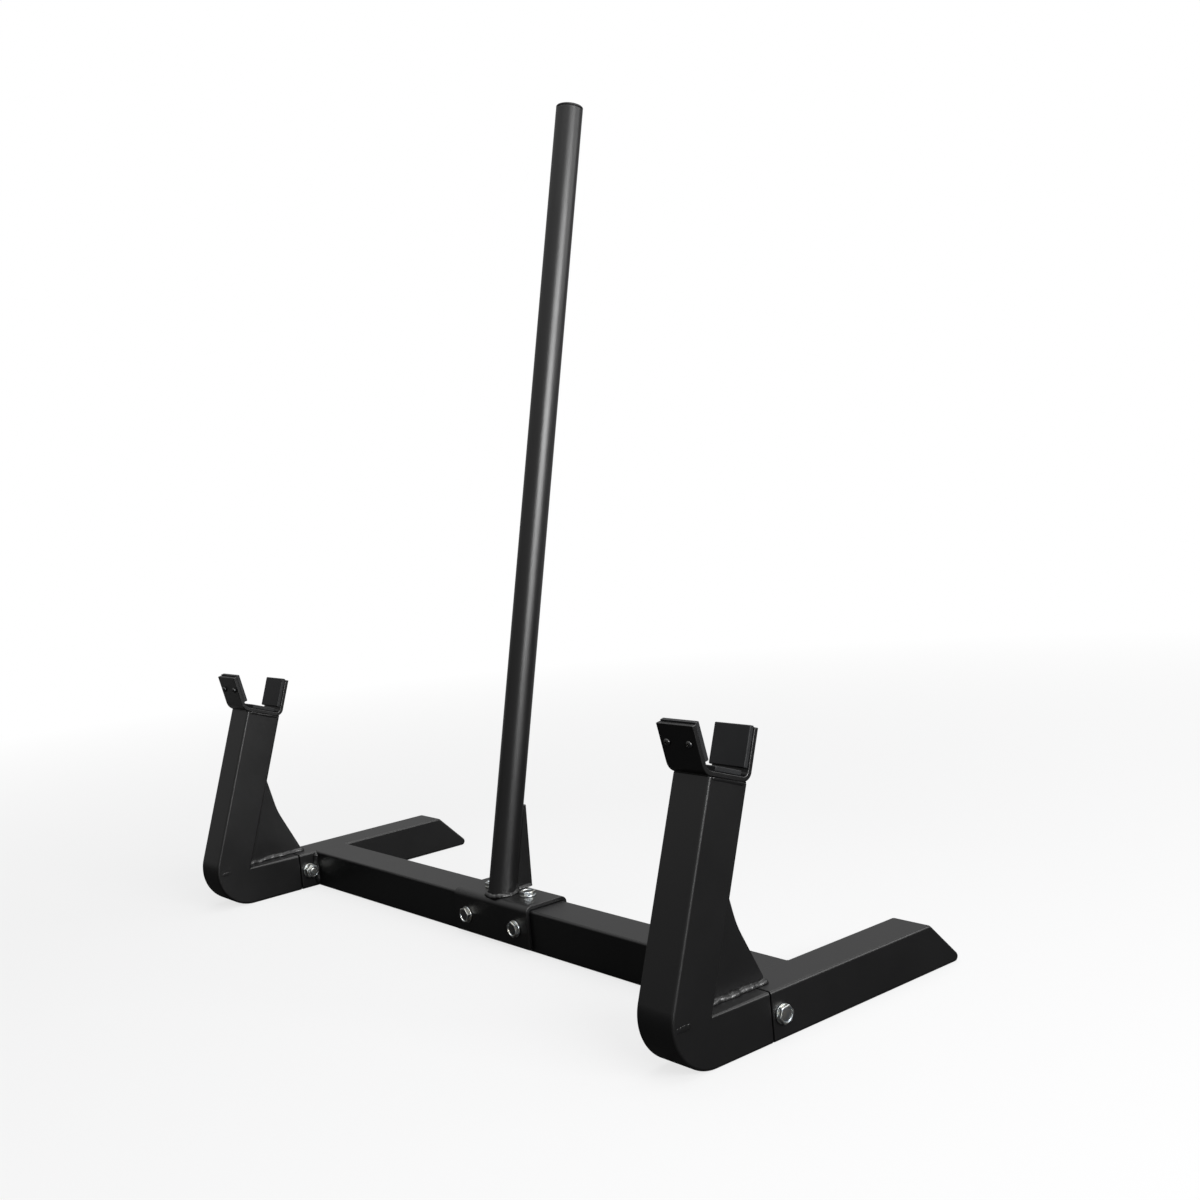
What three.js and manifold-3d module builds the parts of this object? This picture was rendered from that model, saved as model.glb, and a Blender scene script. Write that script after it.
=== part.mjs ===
// Deadlift jack: a steel rocking frame that lifts a loaded barbell by its handle.
// Millimetres. +X runs along the cross beam, +Y points to the back, +Z is up.
// The origin is on the floor under the middle of the cross beam.

import * as THREE from 'three';
import { mergeVertices } from 'three/addons/utils/BufferGeometryUtils.js';
import Module from 'manifold-3d';

// Driving dimensions

const gap = 0.3; // clearance left between pieces that touch
const tubeSize = 50; // square tube, outside
const tubeWall = 4;
const tubeCorner = 3; // outside corner radius
const frameCentre = 465; // from the middle of the jack to the middle of a side frame

const footFront = -52; // front mouth of the rear foot, where the side frame butts on
const footToe = 237.5; // rearmost point of the rear foot
const toeRadius = 5.5;
const footBrow = 9; // corner radius where the foot's top turns down into its slope
const seam = 1.6; // open butt line between foot and side frame
const endPlate = 3;

const heelY = -125.5; // inner corner of the side frame, and centre of its rounded heel
const uprightLean = THREE.MathUtils.degToRad(19);
const uprightLength = 212.5; // back face, from the inner corner to the saddle

const spigotSize = 41;
const spigotWall = 3;
const spigotCorner = 3;
const spigotFront = -118;
const spigotBack = 20;
const footBoltY = -37.2;

const gussetThickness = 6;
const gussetHeight = 132; // along the upright
const gussetEnd = -37; // end of the gusset over the leg
const gussetNose = 7;
const gussetTip = 3;
const gussetBend = [-65.5, 115]; // (y, z) where its sloping edge turns steeper
const gussetBendReach = 12;

const saddleWidth = 50;
const saddlePlate = 5;
const frontArmFlare = THREE.MathUtils.degToRad(31);
const frontArmHeight = 41;
const frontBendRadius = 10; // inside
const frontArmFoot = -30.7; // where the line of the front arm's outer face meets the upright's top
const backArmFace = 28.2; // outer face of the back arm
const backArmHeight = 52;
const backBendRadius = 5;
const padThickness = 5;
const padRise = 1.2; // by which the arm pads stand above the plate
const padMargin = 1; // at each side of the plate
const padChamfer = 1;
const frontPadLength = 38.7;
const backPadFoot = 13;
const floorPadFront = -18;
const floorPadLength = 34;
const armScrewSpread = 15;
const frontScrewHeight = 25;
const backScrewHeight = 32;
const floorScrewAt = -1;
const screwRadius = 2;
const screwHeadRadius = 3.8;
const screwHeadHeight = 2.2;
const screwSocketFlats = 2.5;
const screwRecess = 0.7; // clearance round a head that is sunk in the floor pad

const boltRadius = 5; // M10
const boltHole = 5.5;
const hexFlats = 17;
const headHeight = 4; // a low head
const dishDepth = 1.3; // hollow in the top of a bolt head
const dishFoot = 4.2;
const dishMouth = 5.4;
const washerRadius = 10;
const washerHole = 5.3;
const washerThickness = 1.5;
const nutHeight = 7.4;
const collarHeight = 2.4;

const bracketLength = 150;
const bracketPlate = 5;
const bracketFoot = 4; // height of the flanges' lower edges above the floor
const frontBoltSpread = 50;
const frontBoltHeight = 26;
const topBoltSpread = 36;
const topBoltY = 2.5;
const topBoltLength = 22;
const weldNutSize = 17;
const weldNutHeight = 8;

const handleRadius = 16.85;
const handleWall = 3.2;
const handleLean = THREE.MathUtils.degToRad(13.2);
const handleLength = 973;
const handleY = -10; // handle axis on the top of the bracket
const handleGussetBack = 34;
const handleGussetTop = 155; // height above the floor where it meets the handle
const handleGussetThickness = 6;
const handleGussetTip = 5.5;
const capRim = 1.6;
const capDome = 3.4;

// Solid helpers

const wasm = await Module();
wasm.setup();

function toSolid(geometry) {
  const bare = geometry.clone();
  bare.deleteAttribute('normal');
  bare.deleteAttribute('uv');
  const merged = mergeVertices(bare, 1e-4);
  return new wasm.Manifold(new wasm.Mesh({
    numProp: 3,
    vertProperties: new Float32Array(merged.attributes.position.array),
    triVerts: new Uint32Array(merged.index.array),
  }));
}

function toGeometry(solid) {
  const mesh = solid.getMesh();
  const geometry = new THREE.BufferGeometry();
  geometry.setAttribute('position', new THREE.BufferAttribute(mesh.vertProperties, 3));
  geometry.setIndex(new THREE.BufferAttribute(mesh.triVerts, 1));
  const flat = geometry.toNonIndexed();
  flat.computeVertexNormals();
  return flat;
}

// A profile drawn in (y, z) is extruded along X, and one drawn in (z, x) along Y.
const alongX = new THREE.Matrix4().set(0, 0, 1, 0, 1, 0, 0, 0, 0, 1, 0, 0, 0, 0, 0, 1);
const alongY = new THREE.Matrix4().set(0, 1, 0, 0, 0, 0, 1, 0, 1, 0, 0, 0, 0, 0, 0, 1);

function extrude(shape, depth, curveSegments = 4) {
  const geometry = new THREE.ExtrudeGeometry(shape, { depth, bevelEnabled: false, curveSegments });
  return geometry.translate(0, 0, -depth / 2);
}

// Extrudes an outline along X with its long edges rounded inside the given width.
function roundedSlab(outline, width, radius, segments, curveSegments = 12) {
  const geometry = new THREE.ExtrudeGeometry(outline, {
    depth: width - 2 * radius,
    bevelThickness: radius,
    bevelSize: radius,
    bevelOffset: -radius,
    bevelSegments: segments,
    curveSegments,
  });
  return geometry.translate(0, 0, radius - width / 2).applyMatrix4(alongX);
}

function polygon(points) {
  return new THREE.Shape(points.map(([u, v]) => new THREE.Vector2(u, v)));
}

function roundedSquare(size, radius) {
  const half = size / 2;
  const flat = half - radius;
  const shape = new THREE.Shape();
  shape.absarc(flat, flat, radius, 0, Math.PI / 2);
  shape.absarc(-flat, flat, radius, Math.PI / 2, Math.PI);
  shape.absarc(-flat, -flat, radius, Math.PI, 1.5 * Math.PI);
  shape.absarc(flat, -flat, radius, 1.5 * Math.PI, 2 * Math.PI);
  return shape;
}

function squareTube(size, wall, radius, length, direction) {
  const shape = roundedSquare(size, radius);
  shape.holes.push(roundedSquare(size - 2 * wall, Math.max(radius - wall, 1)));
  return extrude(shape, length).applyMatrix4(direction);
}

function box(x0, x1, y0, y1, z0, z1) {
  const geometry = new THREE.BoxGeometry(x1 - x0, y1 - y0, z1 - z0);
  return geometry.translate((x0 + x1) / 2, (y0 + y1) / 2, (z0 + z1) / 2);
}

// A cylinder about an axis ('x', 'y' or 'z') through a point.
function drill(radius, length, axis, [x, y, z]) {
  const geometry = new THREE.CylinderGeometry(radius, radius, length, 16);
  if (axis === 'x') geometry.rotateZ(Math.PI / 2);
  if (axis === 'z') geometry.rotateX(Math.PI / 2);
  return toSolid(geometry.translate(x, y, z));
}

function piece(name, geometry, material) {
  const mesh = new THREE.Mesh(geometry, material());
  mesh.name = name;
  return mesh;
}

// Materials

const blackPaint = () => new THREE.MeshStandardMaterial({ color: 0x232324, roughness: 0.42, metalness: 0.1 });
const zincSteel = () => new THREE.MeshStandardMaterial({ color: 0xb9babb, roughness: 0.32, metalness: 0.9 });
const blackSteel = () => new THREE.MeshStandardMaterial({ color: 0x1a1a1b, roughness: 0.35, metalness: 0.6 });
const padPlastic = () => new THREE.MeshStandardMaterial({ color: 0x1b1c1e, roughness: 0.6, metalness: 0 });
const capPlastic = () => new THREE.MeshStandardMaterial({ color: 0x1f1f20, roughness: 0.5, metalness: 0 });

// Fasteners: each is made along +Z with its seat at z = 0, under the head

function hexPrism(flats, height) {
  const corner = flats / Math.sqrt(3);
  const prism = new THREE.CylinderGeometry(corner, corner, height, 6);
  return prism.rotateX(Math.PI / 2).translate(0, 0, height / 2);
}

// The chamfered crown of a hexagon is the part of it inside a cone-topped drum.
function crown(flats, height, chamfer) {
  const corner = flats / Math.sqrt(3) + 1;
  const crownRadius = flats / 2 - 0.4;
  const rise = chamfer * (corner - crownRadius);
  return new THREE.LatheGeometry([
    new THREE.Vector2(0, -1),
    new THREE.Vector2(corner, -1),
    new THREE.Vector2(corner, height - rise),
    new THREE.Vector2(crownRadius, height),
    new THREE.Vector2(0, height),
  ], 18).rotateX(Math.PI / 2);
}

function hexBoltGeometry(length) {
  const dish = new THREE.LatheGeometry([
    new THREE.Vector2(0, headHeight - dishDepth),
    new THREE.Vector2(dishFoot, headHeight - dishDepth),
    new THREE.Vector2(dishMouth, headHeight + gap),
    new THREE.Vector2(0, headHeight + gap),
  ], 18).rotateX(Math.PI / 2);
  const head = toSolid(hexPrism(hexFlats, headHeight))
    .intersect(toSolid(crown(hexFlats, headHeight, 0.5)))
    .subtract(toSolid(dish));
  const shank = new THREE.LatheGeometry([
    new THREE.Vector2(0, 1),
    new THREE.Vector2(boltRadius, 1),
    new THREE.Vector2(boltRadius, 1 - length),
    new THREE.Vector2(boltRadius - 1, -length),
    new THREE.Vector2(0, -length),
  ].reverse(), 18).rotateX(Math.PI / 2);
  return toGeometry(head.add(toSolid(shank)));
}

function washerGeometry() {
  return new THREE.LatheGeometry([
    new THREE.Vector2(washerHole, 0),
    new THREE.Vector2(washerRadius, 0),
    new THREE.Vector2(washerRadius, washerThickness),
    new THREE.Vector2(washerHole, washerThickness),
    new THREE.Vector2(washerHole, 0),
  ], 20).rotateX(Math.PI / 2);
}

function lockNutGeometry() {
  const body = toSolid(hexPrism(hexFlats, nutHeight))
    .intersect(toSolid(crown(hexFlats, nutHeight, 0.5)));
  const collar = new THREE.LatheGeometry([
    new THREE.Vector2(0, nutHeight - 1),
    new THREE.Vector2(hexFlats / 2 - 0.8, nutHeight - 1),
    new THREE.Vector2(hexFlats / 2 - 0.8, nutHeight + collarHeight - 1.2),
    new THREE.Vector2(hexFlats / 2 - 2, nutHeight + collarHeight),
    new THREE.Vector2(0, nutHeight + collarHeight),
  ], 18).rotateX(Math.PI / 2);
  const thread = new THREE.CylinderGeometry(boltRadius + gap, boltRadius + gap, 4 * nutHeight, 18);
  return toGeometry(body.add(toSolid(collar)).subtract(toSolid(thread.rotateX(Math.PI / 2))));
}

// Turns a fastener made along +Z to point along an axis and seats it at a point.
function seat(mesh, direction, [x, y, z]) {
  mesh.quaternion.setFromUnitVectors(new THREE.Vector3(0, 0, 1), direction);
  mesh.position.set(x, y, z);
  return mesh;
}

// A bolt, its washers and its lock nut across a pair of faces that lie at +-reach along an axis.
function throughBolt(name, side, direction, reach, centre) {
  const group = new THREE.Group();
  const shankLength = 2 * reach + 2 * washerThickness + nutHeight + collarHeight + 2;
  const back = direction.clone().negate();
  const along = (axis, distance) => axis.clone().multiplyScalar(distance).toArray();
  const washerSeat = reach + gap;
  const headSeat = washerSeat + washerThickness + gap;
  const bolt = piece(`${name}_bolt_${side}`, hexBoltGeometry(shankLength), zincSteel);
  const headWasher = piece(`${name}_head_washer_${side}`, washerGeometry(), zincSteel);
  const nutWasher = piece(`${name}_nut_washer_${side}`, washerGeometry(), zincSteel);
  const lockNut = piece(`${name}_lock_nut_${side}`, lockNutGeometry(), zincSteel);
  group.add(
    seat(bolt, direction, along(direction, headSeat)),
    seat(headWasher, direction, along(direction, washerSeat)),
    seat(nutWasher, back, along(back, washerSeat)),
    seat(lockNut, back, along(back, headSeat)),
  );
  group.position.set(...centre);
  return group;
}

// Cross beam: a square tube between the two feet

function crossBeam() {
  const length = 2 * (frameCentre - tubeSize / 2 - gap);
  const tube = squareTube(tubeSize, tubeWall, tubeCorner, length, alongX);
  let beam = toSolid(tube.translate(0, 0, tubeSize / 2));
  for (const side of [-1, 1]) {
    beam = beam.subtract(drill(boltHole, 2 * tubeSize, 'y', [side * frontBoltSpread, 0, frontBoltHeight]));
    beam = beam.subtract(drill(boltHole, 2 * tubeWall, 'z', [side * topBoltSpread, topBoltY, tubeSize]));
  }
  return piece('cross_beam', toGeometry(beam), blackPaint);
}

// Rear foot: a square tube, open at the front, cut at 45 degrees at the back and closed by a plate

function footOutline(inset) {
  const top = tubeSize - inset;
  const slopeShift = inset * Math.SQRT2;
  const toe = new THREE.Vector2(footToe - slopeShift - inset, inset);
  const reach = toeRadius * Math.tan(Math.PI * 3 / 8);
  const brow = footBrow - inset;
  const browY = footToe - slopeShift - brow * Math.SQRT2 - (top - brow);
  const outline = new THREE.Shape();
  outline.moveTo(footFront - tubeSize, inset);
  outline.lineTo(toe.x - reach, toe.y);
  outline.absarc(toe.x - reach, toe.y + toeRadius, toeRadius, -Math.PI / 2, Math.PI / 4);
  outline.absarc(browY, top - brow, brow, Math.PI / 4, Math.PI / 2);
  outline.lineTo(footFront - tubeSize, top);
  return outline;
}

// The slab of space that the end plate takes, along the 45 degree cut.
function slopeBand(near, far) {
  const shift = (depth) => footToe - depth * Math.SQRT2;
  const over = 10;
  return toSolid(extrude(polygon([
    [shift(near) + over, -over],
    [shift(near) - tubeSize - over, tubeSize + over],
    [shift(far) - tubeSize - over, tubeSize + over],
    [shift(far) + over, -over],
  ]), 2 * tubeSize).applyMatrix4(alongX));
}

function rearFoot(side) {
  const outer = toSolid(roundedSlab(footOutline(0), tubeSize, tubeCorner, 3, 6));
  const inner = toSolid(roundedSlab(footOutline(tubeWall), tubeSize - 2 * tubeWall, 1, 1, 6));
  const wide = 2 * tubeSize;
  const mouth = toSolid(box(-wide, wide, footFront - wide, footFront + seam, -wide, wide));
  const shell = outer
    .subtract(mouth)
    .subtract(inner)
    .subtract(slopeBand(-tubeSize, endPlate + gap))
    .subtract(drill(boltHole, 2 * tubeSize, 'x', [0, footBoltY, tubeSize / 2]));
  const plate = outer.intersect(slopeBand(-1, endPlate));
  const group = new THREE.Group();
  group.add(
    piece(`rear_foot_${side}`, toGeometry(shell), blackPaint),
    piece(`foot_end_plate_${side}`, toGeometry(plate), blackPaint),
  );
  return group;
}

// Side frame: one square-tube elbow whose rounded edges run on round the heel

function elbowOutline(inset, overrun) {
  const sin = Math.sin(uprightLean);
  const cos = Math.cos(uprightLean);
  const radius = tubeSize - inset;
  const cornerY = heelY - inset * (1 + sin) / cos;
  const cornerZ = tubeSize - inset;
  const rise = uprightLength + overrun;
  const outline = new THREE.Shape();
  outline.moveTo(footFront + overrun, inset);
  outline.lineTo(heelY, inset);
  outline.absarc(heelY, tubeSize, radius, 1.5 * Math.PI, Math.PI - uprightLean, true);
  outline.lineTo(heelY - radius * cos + rise * sin, tubeSize + radius * sin + rise * cos);
  outline.lineTo(heelY - inset * cos + rise * sin, tubeSize + inset * sin + rise * cos);
  outline.lineTo(cornerY, cornerZ);
  outline.lineTo(footFront + overrun, cornerZ);
  return outline;
}

function sideElbow(side) {
  const outer = toSolid(roundedSlab(elbowOutline(0, 20), tubeSize, tubeCorner, 3));
  const inner = toSolid(roundedSlab(elbowOutline(tubeWall, 30), tubeSize - 2 * tubeWall, 1, 1, 8));
  const elbow = outer.subtract(inner);
  const wide = tubeSize;
  const front = heelY - 4 * tubeSize;
  const legZone = toSolid(box(-wide, wide, front, footFront, -wide, tubeSize));
  const sin = Math.sin(uprightLean);
  const cos = Math.cos(uprightLean);
  const top = [heelY + uprightLength * sin, tubeSize + uprightLength * cos];
  const reach = 3 * tubeSize;
  const uprightZone = toSolid(extrude(polygon([
    [front, tubeSize + gap],
    [heelY + reach, tubeSize + gap],
    [top[0] + reach * cos, top[1] - reach * sin],
    [top[0] - reach * cos, top[1] + reach * sin],
    [front, top[1] + reach * sin],
  ]), 2 * wide).applyMatrix4(alongX));
  const group = new THREE.Group();
  group.add(
    piece(`side_leg_${side}`, toGeometry(elbow.intersect(legZone)), blackPaint),
    piece(`side_upright_${side}`, toGeometry(elbow.intersect(uprightZone)), blackPaint),
  );
  return group;
}

function spigot(side) {
  const length = spigotBack - spigotFront;
  const middle = (spigotBack + spigotFront) / 2;
  const tube = squareTube(spigotSize, spigotWall, spigotCorner, length, alongY);
  const drilled = toSolid(tube.translate(0, middle, tubeSize / 2))
    .subtract(drill(boltHole, 2 * tubeSize, 'x', [0, footBoltY, tubeSize / 2]));
  return piece(`leg_spigot_${side}`, toGeometry(drilled), blackPaint);
}

// Gusset plate in the inner corner, in the middle of the tube's width
function sideGusset(side) {
  const sin = Math.sin(uprightLean);
  const cos = Math.cos(uprightLean);
  const base = tubeSize + gap;
  const corner = heelY + gap * (1 + sin) / cos;
  const top = new THREE.Vector2(corner + gussetHeight * sin, base + gussetHeight * cos);
  const tip = new THREE.Vector2(cos, -sin).multiplyScalar(gussetTip).add(top);
  const nose = new THREE.Vector2(gussetEnd, base + gussetNose);
  const bend = new THREE.Vector2(...gussetBend);
  const toward = (target) => target.clone().sub(bend).setLength(gussetBendReach).add(bend);
  const into = toward(nose);
  const outOf = toward(tip);
  const outline = new THREE.Shape();
  outline.moveTo(corner, base);
  outline.lineTo(gussetEnd, base);
  outline.lineTo(nose.x, nose.y);
  outline.lineTo(into.x, into.y);
  outline.quadraticCurveTo(bend.x, bend.y, outOf.x, outOf.y);
  outline.lineTo(tip.x, tip.y);
  outline.lineTo(top.x, top.y);
  return piece(`side_gusset_${side}`, extrude(outline, gussetThickness).applyMatrix4(alongX), blackPaint);
}

// Saddle: a bent plate with a flared front arm, an upright back arm and three plastic pads.
// It is drawn across the top of the upright: u to the back along it, v away from it.

function saddleSection() {
  const cos = Math.cos(frontArmFlare);
  const sin = Math.sin(frontArmFlare);
  const outerBend = frontBendRadius + saddlePlate;
  const bendAngle = Math.PI / 2 - frontArmFlare;
  const tangent = outerBend * Math.tan(bendAngle / 2);
  const bendU = frontArmFoot + tangent;
  const armLength = (frontArmHeight - gap) / cos;
  const armTop = [frontArmFoot - armLength * sin, gap + armLength * cos];
  const armTopInner = [armTop[0] + saddlePlate * cos, armTop[1] + saddlePlate * sin];
  const backBend = backBendRadius + saddlePlate;
  const backU = backArmFace - backBend;
  const section = new THREE.Shape();
  section.moveTo(backArmFace, gap + backArmHeight);
  section.lineTo(backArmFace - saddlePlate, gap + backArmHeight);
  section.absarc(backU, gap + backBend, backBendRadius, 0, -Math.PI / 2, true);
  section.absarc(bendU, gap + outerBend, frontBendRadius, -Math.PI / 2, -Math.PI / 2 - bendAngle, true);
  section.lineTo(...armTopInner);
  section.lineTo(...armTop);
  section.absarc(bendU, gap + outerBend, outerBend, -Math.PI / 2 - bendAngle, -Math.PI / 2, false);
  section.absarc(backU, gap + backBend, backBend, -Math.PI / 2, 0, false);
  return section;
}

// A flat pad in (u, v): starts at a point, runs along a direction, with its thickness to the left.
function padGeometry(start, angle, length) {
  const cos = Math.cos(angle);
  const sin = Math.sin(angle);
  const at = (run, off) => [start[0] + run * cos - off * sin, start[1] + run * sin + off * cos];
  return extrude(polygon([
    at(0, 0),
    at(length, 0),
    at(length, padThickness - padChamfer),
    at(length - padChamfer, padThickness),
    at(padChamfer, padThickness),
    at(0, padThickness - padChamfer),
  ]), saddleWidth - 2 * padMargin).applyMatrix4(alongX);
}

// A button-head screw along +Z with its seat at z = 0
function buttonScrewGeometry(length) {
  const profile = [
    new THREE.Vector2(0, -length),
    new THREE.Vector2(screwRadius, -length),
    new THREE.Vector2(screwRadius, 0),
    new THREE.Vector2(screwHeadRadius, 0),
    new THREE.Vector2(0.85 * screwHeadRadius, 0.7 * screwHeadHeight),
    new THREE.Vector2(0.5 * screwHeadRadius, screwHeadHeight),
    new THREE.Vector2(0, screwHeadHeight),
  ];
  const screw = toSolid(new THREE.LatheGeometry(profile, 10).rotateX(Math.PI / 2));
  const socket = hexPrism(screwSocketFlats, screwHeadHeight).translate(0, 0, screwHeadHeight / 2);
  return toGeometry(screw.subtract(toSolid(socket)));
}

// Where the pad screws go: the direction their heads face and the middle of each pair's seats
function padScrewSeats() {
  const sin = Math.sin(frontArmFlare);
  const cos = Math.cos(frontArmFlare);
  const frontFace = frontArmFoot - frontScrewHeight * sin / cos;
  return {
    front: {
      out: new THREE.Vector3(0, -cos, -sin),
      middle: new THREE.Vector3(0, frontFace, gap + frontScrewHeight),
    },
    back: {
      out: new THREE.Vector3(0, 1, 0),
      middle: new THREE.Vector3(0, backArmFace, gap + backScrewHeight),
    },
    floor: {
      out: new THREE.Vector3(0, 0, 1),
      middle: new THREE.Vector3(0, floorScrewAt, gap + saddlePlate),
    },
  };
}

function saddlePads() {
  const sin = Math.sin(frontArmFlare);
  const cos = Math.cos(frontArmFlare);
  const innerFoot = frontArmFoot + saddlePlate / cos + gap;
  const frontTop = frontArmHeight + saddlePlate * sin + padRise * cos;
  const frontStart = [innerFoot - frontTop * sin / cos, gap + frontTop];
  const backStart = [backArmFace - saddlePlate - gap, gap + backPadFoot];
  const backLength = backArmHeight + padRise - backPadFoot;
  const floorStart = [floorPadFront, 2 * gap + saddlePlate];
  return {
    front: toSolid(padGeometry(frontStart, frontArmFlare - Math.PI / 2, frontPadLength)),
    back: toSolid(padGeometry(backStart, Math.PI / 2, backLength)),
    floor: toSolid(padGeometry(floorStart, 0, floorPadLength)),
  };
}

function saddle(side) {
  const pads = saddlePads();
  const seats = padScrewSeats();
  let plate = toSolid(extrude(saddleSection(), saddleWidth, 8).applyMatrix4(alongX));
  const screwLength = saddlePlate + padThickness - 2;
  const alongScrew = new THREE.Vector3(0, 0, 1);
  const group = new THREE.Group();
  for (const [place, { out, middle }] of Object.entries(seats)) {
    const turn = new THREE.Quaternion().setFromUnitVectors(alongScrew, out);
    for (const [end, hand] of [['a', -1], ['b', 1]]) {
      const seatPoint = middle.clone().setX(hand * armScrewSpread);
      const bore = new THREE.CylinderGeometry(screwRadius + gap, screwRadius + gap, 2 * screwLength + 1, 10);
      bore.rotateX(Math.PI / 2).applyQuaternion(turn).translate(...seatPoint.toArray());
      plate = plate.subtract(toSolid(bore));
      pads[place] = pads[place].subtract(toSolid(bore));
      const screw = piece(`pad_screw_${place}_${end}_${side}`, buttonScrewGeometry(screwLength), blackSteel);
      group.add(seat(screw, out, seatPoint.addScaledVector(out, gap).toArray()));
    }
  }
  for (const hand of [-1, 1]) {
    const recess = [hand * armScrewSpread, floorScrewAt, 2 * saddlePlate];
    pads.floor = pads.floor.subtract(drill(screwHeadRadius + screwRecess, 2 * saddlePlate, 'z', recess));
  }
  group.add(piece(`saddle_plate_${side}`, toGeometry(plate), blackPaint));
  for (const [place, pad] of Object.entries(pads)) {
    group.add(piece(`saddle_pad_${place}_${side}`, toGeometry(pad), padPlastic));
  }
  const sin = Math.sin(uprightLean);
  const cos = Math.cos(uprightLean);
  const half = tubeSize / 2;
  const middleY = heelY + uprightLength * sin - half * cos;
  group.position.set(0, middleY, tubeSize + uprightLength * cos + half * sin);
  group.rotation.x = -uprightLean;
  return group;
}

// One whole side: foot, elbow, spigot, gusset, saddle and the bolt that joins foot and leg
function sideFrame(side, hand) {
  const group = new THREE.Group();
  const outward = new THREE.Vector3(hand, 0, 0);
  group.add(
    rearFoot(side),
    sideElbow(side),
    spigot(side),
    sideGusset(side),
    saddle(side),
    throughBolt('foot', side, outward, tubeSize / 2, [0, footBoltY, tubeSize / 2]),
  );
  group.position.x = hand * frameCentre;
  return group;
}

// Handle bracket: a plate bent over the beam, bolted through it

function handleBracket() {
  const inner = tubeSize / 2 + gap;
  const outer = inner + bracketPlate;
  const innerRadius = tubeCorner + gap;
  const outerRadius = innerRadius + bracketPlate;
  const bendZ = tubeSize - tubeCorner;
  const bendY = tubeSize / 2 - tubeCorner;
  const section = new THREE.Shape();
  section.moveTo(outer, bracketFoot);
  section.absarc(bendY, bendZ, outerRadius, 0, Math.PI / 2);
  section.absarc(-bendY, bendZ, outerRadius, Math.PI / 2, Math.PI);
  section.lineTo(-outer, bracketFoot);
  section.lineTo(-inner, bracketFoot);
  section.absarc(-bendY, bendZ, innerRadius, Math.PI, Math.PI / 2, true);
  section.absarc(bendY, bendZ, innerRadius, Math.PI / 2, 0, true);
  section.lineTo(inner, bracketFoot);
  let bracket = toSolid(extrude(section, bracketLength, 8).applyMatrix4(alongX));
  for (const side of [-1, 1]) {
    const front = [side * frontBoltSpread, 0, frontBoltHeight];
    const top = [side * topBoltSpread, topBoltY, tubeSize];
    bracket = bracket.subtract(drill(boltHole, 2 * tubeSize, 'y', front));
    bracket = bracket.subtract(drill(boltHole, 4 * bracketPlate, 'z', top));
  }
  return piece('handle_bracket', toGeometry(bracket), blackPaint);
}

function weldNutGeometry() {
  const block = toSolid(new THREE.BoxGeometry(weldNutSize, weldNutSize, weldNutHeight));
  return toGeometry(block.subtract(drill(boltRadius + gap, 2 * weldNutHeight, 'z', [0, 0, 0])));
}

function bracketFasteners() {
  const group = new THREE.Group();
  const bracketTop = tubeSize + gap + bracketPlate;
  for (const [side, hand] of [['left', -1], ['right', 1]]) {
    const reach = tubeSize / 2 + gap + bracketPlate;
    const front = new THREE.Vector3(0, -1, 0);
    group.add(throughBolt('bracket', side, front, reach, [hand * frontBoltSpread, 0, frontBoltHeight]));
    const x = hand * topBoltSpread;
    const up = new THREE.Vector3(0, 0, 1);
    const bolt = piece(`top_bolt_${side}`, hexBoltGeometry(topBoltLength), zincSteel);
    const washer = piece(`top_washer_${side}`, washerGeometry(), zincSteel);
    const nut = piece(`top_weld_nut_${side}`, weldNutGeometry(), zincSteel);
    nut.position.set(x, topBoltY, tubeSize - tubeWall - gap - weldNutHeight / 2);
    group.add(
      seat(bolt, up, [x, topBoltY, bracketTop + washerThickness + 2 * gap]),
      seat(washer, up, [x, topBoltY, bracketTop + gap]),
      nut,
    );
  }
  return group;
}

// A ribbed plug with a thin domed head, made along +Z with the end of the tube at z = 0
function endCapGeometry() {
  const plug = handleRadius - handleWall - gap;
  const ribDepth = 0.8;
  const plugLength = 18;
  const ribPitch = 6;
  const ribCount = 2;
  const profile = [new THREE.Vector2(0, -plugLength), new THREE.Vector2(plug - 2 * ribDepth, -plugLength)];
  for (let rib = 1; rib <= ribCount; rib += 1) {
    const height = rib * ribPitch - plugLength;
    profile.push(new THREE.Vector2(plug - ribDepth, height - 1));
    profile.push(new THREE.Vector2(plug, height));
    profile.push(new THREE.Vector2(plug - ribDepth, height + 1));
  }
  profile.push(new THREE.Vector2(plug - ribDepth, gap));
  profile.push(new THREE.Vector2(handleRadius, gap));
  const domeSteps = 4;
  for (let step = 0; step < domeSteps; step += 1) {
    const angle = (step / domeSteps) * Math.PI / 2;
    const height = gap + capRim + capDome * Math.sin(angle);
    profile.push(new THREE.Vector2(handleRadius * Math.cos(angle), height));
  }
  profile.push(new THREE.Vector2(0, gap + capRim + capDome));
  return new THREE.LatheGeometry(profile, 32).rotateX(Math.PI / 2);
}

// Handle: a round tube that leans back, its gusset and its end cap

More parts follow.
